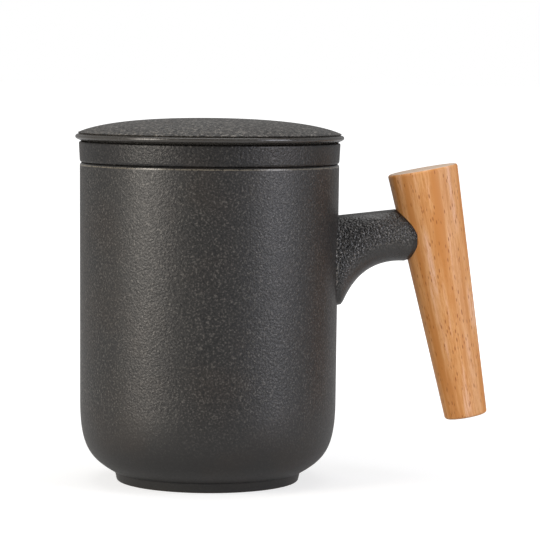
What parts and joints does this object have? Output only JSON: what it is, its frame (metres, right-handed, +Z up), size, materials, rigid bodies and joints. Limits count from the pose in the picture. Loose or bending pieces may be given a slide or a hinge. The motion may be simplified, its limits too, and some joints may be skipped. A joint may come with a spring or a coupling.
{
  "type": "lidded tea mug with infuser",
  "caption": "Straight stoneware tea mug with a lift-off domed lid, a lift-out infuser basket and a tapered wooden side grip on a stoneware boss.",
  "frame": {"origin": "on the mug's axis, in the plane of the foot ring that it stands on", "axes": "+Z up along the mug's axis, +X towards the handle"},
  "size_m": [0.1362, 0.088, 0.1192],
  "materials": {
    "body_glaze": "matte charcoal glaze with fine pale speckle",
    "boss_glaze": "satin charcoal glaze with coarse pebbled speckle",
    "collar_glaze": "matte charcoal glaze with fine pale speckle",
    "lid_glaze": "matte charcoal glaze with fine pale speckle",
    "beech_grip": "oiled turned beech",
    "beech_dowel": "plain fluted beech",
    "cured_adhesive": "cured clear epoxy"
  },
  "bodies": {
    "mug": {"mug_body": "body_glaze", "handle_boss": "boss_glaze", "handle_grip": "beech_grip", "grip_dowel": "beech_dowel", "grip_adhesive": "cured_adhesive"},
    "infuser": {"infuser": "collar_glaze"},
    "lid": {"lid": "lid_glaze"}
  },
  "joints": [
    {"name": "infuser_lift", "type": "slide", "parent": "mug", "child": "infuser", "axis": [0, 0, 1], "range_m": [0, 0.08]},
    {"name": "lid_lift", "type": "slide", "parent": "infuser", "child": "lid", "axis": [0, 0, 1], "range_m": [0, 0.06]}
  ]
}
